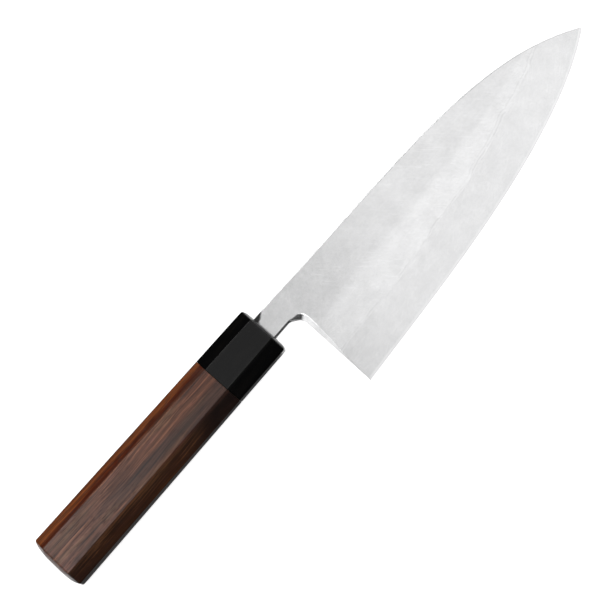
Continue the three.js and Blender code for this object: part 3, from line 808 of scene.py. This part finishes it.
def roseMaterial():
    material, tree, shader = newFinish("rosewood")
    place = knifePlace(tree)
    inputs = {"Place": place, "Ring Width": roseFinish["ringWidth"], "Pore Width": roseFinish["poreWidth"]}
    inputs["Streak Width"] = roseFinish["streakWidth"]
    figure = addNode(tree, "Group", inputs, node_tree=woodFigure).outputs
    rings, streaks, pores = figure["Rings"], figure["Streaks"], figure["Pores"]
    x, y = addNode(tree, "SeparateXYZ", {0: place}).outputs[:2]
    lightness = addUp(tree, sway(tree, streaks, 1.6), times(tree, rings, -0.25), 0.6)
    colour = mixColours(tree, softMask(tree, lightness, 0, 0.55), roseFinish["dark"], roseFinish["mid"])
    colour = mixColours(tree, softMask(tree, lightness, 0.5, 1.1), colour, roseFinish["light"])
    aside = addNode(tree, "VectorMath", {0: place, 1: (40, 9, 5)}).outputs[0]
    for patch, lay, length in (("pink", place, 30), ("olive", aside, 36)):
        share = softMask(tree, noise(tree, lay, (length, 4.5, 4.5)), 0.5, 0.67)
        share = times(tree, share, roseFinish["patches"])
        colour = mixColours(tree, share, colour, roseFinish[patch])
    drift = addUp(tree, y, sway(tree, noise(tree, place, (45, 8, 8)), 3))
    falling = addUp(tree, drift, times(tree, x, 0.03))
    narrow = times(tree, bandMask(tree, falling, -4.5, 7), softMask(tree, x, -115, -75))
    wide = times(tree, softMask(tree, drift, -0.5, -3), softMask(tree, x, -64, -46))
    grey = times(tree, calc(tree, "MAXIMUM", narrow, wide), roseFinish["streakGrey"])
    colour = mixColours(tree, grey, colour, roseFinish["grey"])
    # Spine side: a red tone with an orange outer band, painted light for the key lamp on the upper facet
    spineSide = softMask(tree, y, *roseFinish["spineSide"])
    outer = softMask(tree, addUp(tree, drift, sway(tree, streaks, 4)), *roseFinish["orangeFrom"])
    litTone = mixColours(tree, outer, roseFinish["red"], roseFinish["orange"])
    colour = mixColours(tree, times(tree, spineSide, 0.95), colour, litTone)
    # Edge side: painted shade for the lower facet, dark brown that darkens towards its lower edge and turns
    # black beside the ferrule
    edgeSide = softMask(tree, y, *roseFinish["edgeSide"])
    upper = softMask(tree, addUp(tree, drift, sway(tree, streaks, 14)), *roseFinish["brownFrom"])
    edgeShade = mixColours(tree, upper, roseFinish["edgeShade"], roseFinish["brown"])
    buttEnd = times(tree, softMask(tree, x, *roseFinish["buttBlack"]), 0.45)
    ends = addUp(tree, softMask(tree, x, *roseFinish["blackFrom"]), buttEnd)
    edgeShade = mixColours(tree, ends, edgeShade, roseFinish["black"])
    colour = mixColours(tree, times(tree, edgeSide, 0.9), colour, edgeShade)
    grain = addUp(tree, sway(tree, streaks, roseFinish["grain"]), 1)
    colour = mixColours(tree, 1, colour, grain, "MULTIPLY")
    poreShade = times(tree, pores, roseFinish["poreDark"])
    colour = mixColours(tree, poreShade, colour, roseFinish["dark"])
    worn = readMap(tree, "handleMap")[2]
    wear = addNode(tree, "Group", {"Place": place, "Worn": worn}, node_tree=edgeWear).outputs["Wear"]
    colour = mixColours(tree, times(tree, wear, 0.25), colour, roseFinish["dark"])
    wholeLength = handle["gripLength"] + handle["ferruleLength"]
    taper = (handle["buttHeight"] - handle["mouthHeight"]) / 2 / wholeLength
    spineEdge = softMask(tree, addUp(tree, y, times(tree, x, taper)), 11.2, 11.8)
    colour = mixColours(tree, times(tree, spineEdge, 0.7), colour, roseFinish["dark"])
    tree.links.new(colour, shader["Base Color"])
    roughness = addUp(tree, sway(tree, streaks, -0.2), times(tree, pores, 0.15),
                      times(tree, wear, -0.06), roseFinish["roughness"])
    tree.links.new(roughness, shader["Roughness"])
    shader["Specular IOR Level"].default_value = roseFinish["shine"]
    height = addUp(tree, times(tree, streaks, 0.6), times(tree, pores, -1))
    addBump(tree, shader, height, 0.02)
    return material


# Beech: pale wood with short brown flecks
beechFinish = {"light": (0.55, 0.36, 0.2), "dark": (0.36, 0.2, 0.1), "roughness": 0.6}


def beechMaterial():
    material, tree, shader = newFinish("beech")
    inputs = {"Place": knifePlace(tree), "Ring Width": 2.2, "Streak Width": 0.8, "Pore Width": 0.25}
    figure = addNode(tree, "Group", inputs, node_tree=woodFigure).outputs
    rings, streaks, pores = figure["Rings"], figure["Streaks"], figure["Pores"]
    shade = addUp(tree, times(tree, rings, 0.4), times(tree, pores, 0.5))
    tree.links.new(mixColours(tree, shade, beechFinish["light"], beechFinish["dark"]), shader["Base Color"])
    tree.links.new(addUp(tree, sway(tree, streaks, 0.2), beechFinish["roughness"]), shader["Roughness"])
    addBump(tree, shader, streaks, 0.02)
    return material


# Resin: dark brown, with cloudy patches and a lightly pitted skin
resinFinish = {"colour": (0.012, 0.009, 0.007), "cloudy": (0.035, 0.027, 0.02), "roughness": 0.4,
               "cloudSize": 2.5}


def resinMaterial():
    material, tree, shader = newFinish("resin")
    inputs = {"Place": knifePlace(tree), "Size": resinFinish["cloudSize"]}
    mottle = addNode(tree, "Group", inputs, node_tree=cloudMottle)
    shade, specks = softMask(tree, mottle.outputs["Clouds"], 0.35, 0.75), mottle.outputs["Specks"]
    colour = mixColours(tree, shade, resinFinish["colour"], resinFinish["cloudy"])
    tree.links.new(colour, shader["Base Color"])
    tree.links.new(addUp(tree, sway(tree, specks, 0.3), resinFinish["roughness"]), shader["Roughness"])
    addBump(tree, shader, specks, 0.03)
    return material


grid = bladeGrid()
clad = grid["clad"]
ironCells = grid["solid"] & clad[:-1, :-1] & clad[1:, 1:] & clad[:-1, 1:] & clad[1:, :-1]
points, faces, maps = platePiece(grid, grid["weld"], grid["front"], ironCells)
makePiece("ironCladding", points, faces, ironMaterial(), "soft_iron", "iron_cladding", maps=maps)
steelTop = np.where(clad, grid["weld"], grid["front"])
points, faces, maps = platePiece(grid, grid["back"], steelTop, grid["solid"])
makePiece("steelLayer", points, faces, steelMaterial(), "hard_steel", "steel_layer", maps=maps,
          sharpAngle=4.5)
points, faces, maps = gripPiece()
makePiece("grip", points, faces, roseMaterial(), "rosewood", "grip", maps=maps)
points, faces, maps = ferrulePiece()
makePiece("ferruleHorn", points, faces, hornMaterial(), "black_horn", "ferrule", maps=maps)
points, faces, maps = sealPiece()
makePiece("mouthSeal", points, faces, resinMaterial(), "resin", "mouth_seal", maps=maps)
frame["nodes"]["dowel"].data.materials[0] = beechMaterial()
print("pieces and finishes ready")

# Floor, camera and light. A light has its middle, what it faces, its size, its radiance and its roll in
# degrees. The cards are for reflections alone.
studio = {
    "floorSize": 12, "floorColour": (0.9, 0.9, 0.9, 1), "floorRoughness": 0.9, "floorGlow": 0.85,
    "tilt": 9.4, "turn": 48.6, "lookAt": (18.07, -7.41, 0),
    "across": 251.6, "lens": 300, "ambient": 0.02, "backdrop": (0.96, 0.96, 0.96),
    "flatBox": ((0.232, 0.079, 0.32), (0.232, 0.079, 0), (0.399, 0.20), 0.95, -6),
    "bevelBox": ((0.1995, -0.145, 0.32), (0.1995, -0.145, 0), (0.40, 0.25), 1.04, -12),
    "neckBox": ((-0.042, -0.019, 0.32), (-0.042, -0.019, 0), (0.116, 0.45), 0.65, -6),
    "buttBox": ((-0.19, 0.08, 0.3), (-0.19, 0.08, 0), (0.18, 0.24), 2.4, 0),
    "spineLight": ((-0.1, 0.95, 0.6), (-0.02, 0, 0), (0.7, 0.4), 4.5, 0),
    "bladeCard": ((0.085, -0.02, -0.1), (0.085, -0.02, 0), (0.23, 0.3), 1.25, 0),
    "gripCard": ((-0.11, -0.02, -0.1), (-0.11, -0.02, 0), (0.17, 0.3), 0.13, 0),
    "heelCard": ((-0.8, 0.115, 0.4), (0, -0.02, 0), (0.6, 0.7), 0.92, 0),
    "buttCard": ((-0.35, 0.05, -0.2), (-0.15, 0.01, 0.01), (0.3, 0.4), 1.4, 0),
    "mouthCard": ((0.6, 0.1, -0.02), (-0.02, 0.01, 0.01), (0.5, 0.25), 2.4, 0),
    "tipCard": ((0.6, 0.7, 0.3), (0.1, 0, 0), (0.8, 0.8), 1.1, 0),
    "leftCard": ((-0.66, -0.76, 0.34), (0, 0, 0), (0.6, 0.4), 0.6, 0),
    "rightCard": ((0.72, -0.6, 0.3), (0, 0, 0), (0.73, 0.5), 0.7, 0),
    "frontCard": ((0.02, -1, 0.33), (0, 0, 0), (0.8, 0.2), 0.16, 0),
}


# A pale glowing square that the camera alone sees
def makeFloor():
    half = studio["floorSize"] / 2
    corners = [(-half, -half, 0), (half, -half, 0), (half, half, 0), (-half, half, 0)]
    mesh = bpy.data.meshes.new("floor")
    mesh.from_pydata(corners, [], [(0, 1, 2, 3)])
    floor = bpy.data.objects.new("floor", mesh)
    material, _, shader = newFinish("paleFloor")
    shader["Base Color"].default_value = studio["floorColour"]
    shader["Roughness"].default_value = studio["floorRoughness"]
    shader["Emission Color"].default_value = (1, 1, 1, 1)
    shader["Emission Strength"].default_value = studio["floorGlow"]
    mesh.materials.append(material)
    for rays in ("visible_glossy", "visible_diffuse", "visible_shadow"):
        setattr(floor, rays, False)
    bpy.context.scene.collection.objects.link(floor)


# The camera looks square to the handle's line, tilted to the edge side, and turned so that the knife lies
# aslant
def makeCamera():
    tilt, turn = np.radians(studio["tilt"]), np.radians(studio["turn"])
    toTip = np.array([1, 0, 0])
    toEdge = np.array([0, -np.cos(tilt), -np.sin(tilt)])
    toCamera = np.array([0, -np.sin(tilt), np.cos(tilt)])
    right = np.cos(turn) * toTip + np.sin(turn) * toEdge
    up = np.sin(turn) * toTip - np.cos(turn) * toEdge
    camera = bpy.data.objects.new("camera", bpy.data.cameras.new("camera"))
    camera.data.lens = studio["lens"]
    away = studio["across"] * studio["lens"] / camera.data.sensor_width
    middle = np.array(studio["lookAt"])
    marks = np.stack([middle + toCamera * away, middle + right, middle + up, middle + toCamera, middle])
    place = layDown(marks)
    matrix = np.eye(4)
    matrix[:3, :3] = (place[1:4] - place[4]).T / 0.001
    matrix[:3, 3] = place[0]
    camera.matrix_world = Matrix(matrix)
    bpy.context.scene.collection.objects.link(camera)
    bpy.context.scene.camera = camera


# A light's power is pi times its area times its radiance
def makeLight(name, onlyReflects=False):
    place, aim, size, radiance, roll = studio[name]
    light = bpy.data.lights.new(name, "AREA")
    light.shape = "RECTANGLE"
    light.size, light.size_y = size
    light.energy = np.pi * size[0] * size[1] * radiance
    lamp = bpy.data.objects.new(name, light)
    lamp.location = place
    facing = (Vector(aim) - Vector(place)).to_track_quat("-Z", "Y").to_matrix()
    lamp.rotation_euler = (facing @ Matrix.Rotation(np.radians(roll), 3, "Z")).to_euler()
    lamp.visible_camera = False
    lamp.visible_diffuse = not onlyReflects
    bpy.context.scene.collection.objects.link(lamp)


# Surroundings: dim, with a pale backdrop for the camera alone
def makeWorld():
    world = bpy.data.worlds.new("studio")
    world.use_nodes = True
    tree = world.node_tree
    seen = addNode(tree, "LightPath", {}).outputs["Is Camera Ray"]
    colour = mixColours(tree, seen, (studio["ambient"],) * 3, studio["backdrop"])
    tree.links.new(colour, tree.nodes["Background"].inputs["Color"])
    bpy.context.scene.world = world


makeFloor()
makeCamera()
makeWorld()
for lightName in ("flatBox", "bevelBox", "neckBox", "buttBox", "spineLight"):
    makeLight(lightName)
for cardName in ("bladeCard", "gripCard", "heelCard", "buttCard", "mouthCard", "tipCard", "leftCard",
                 "rightCard", "frontCard"):
    makeLight(cardName, onlyReflects=True)
bpy.context.scene.view_settings.view_transform = "Standard"
print("studio ready")
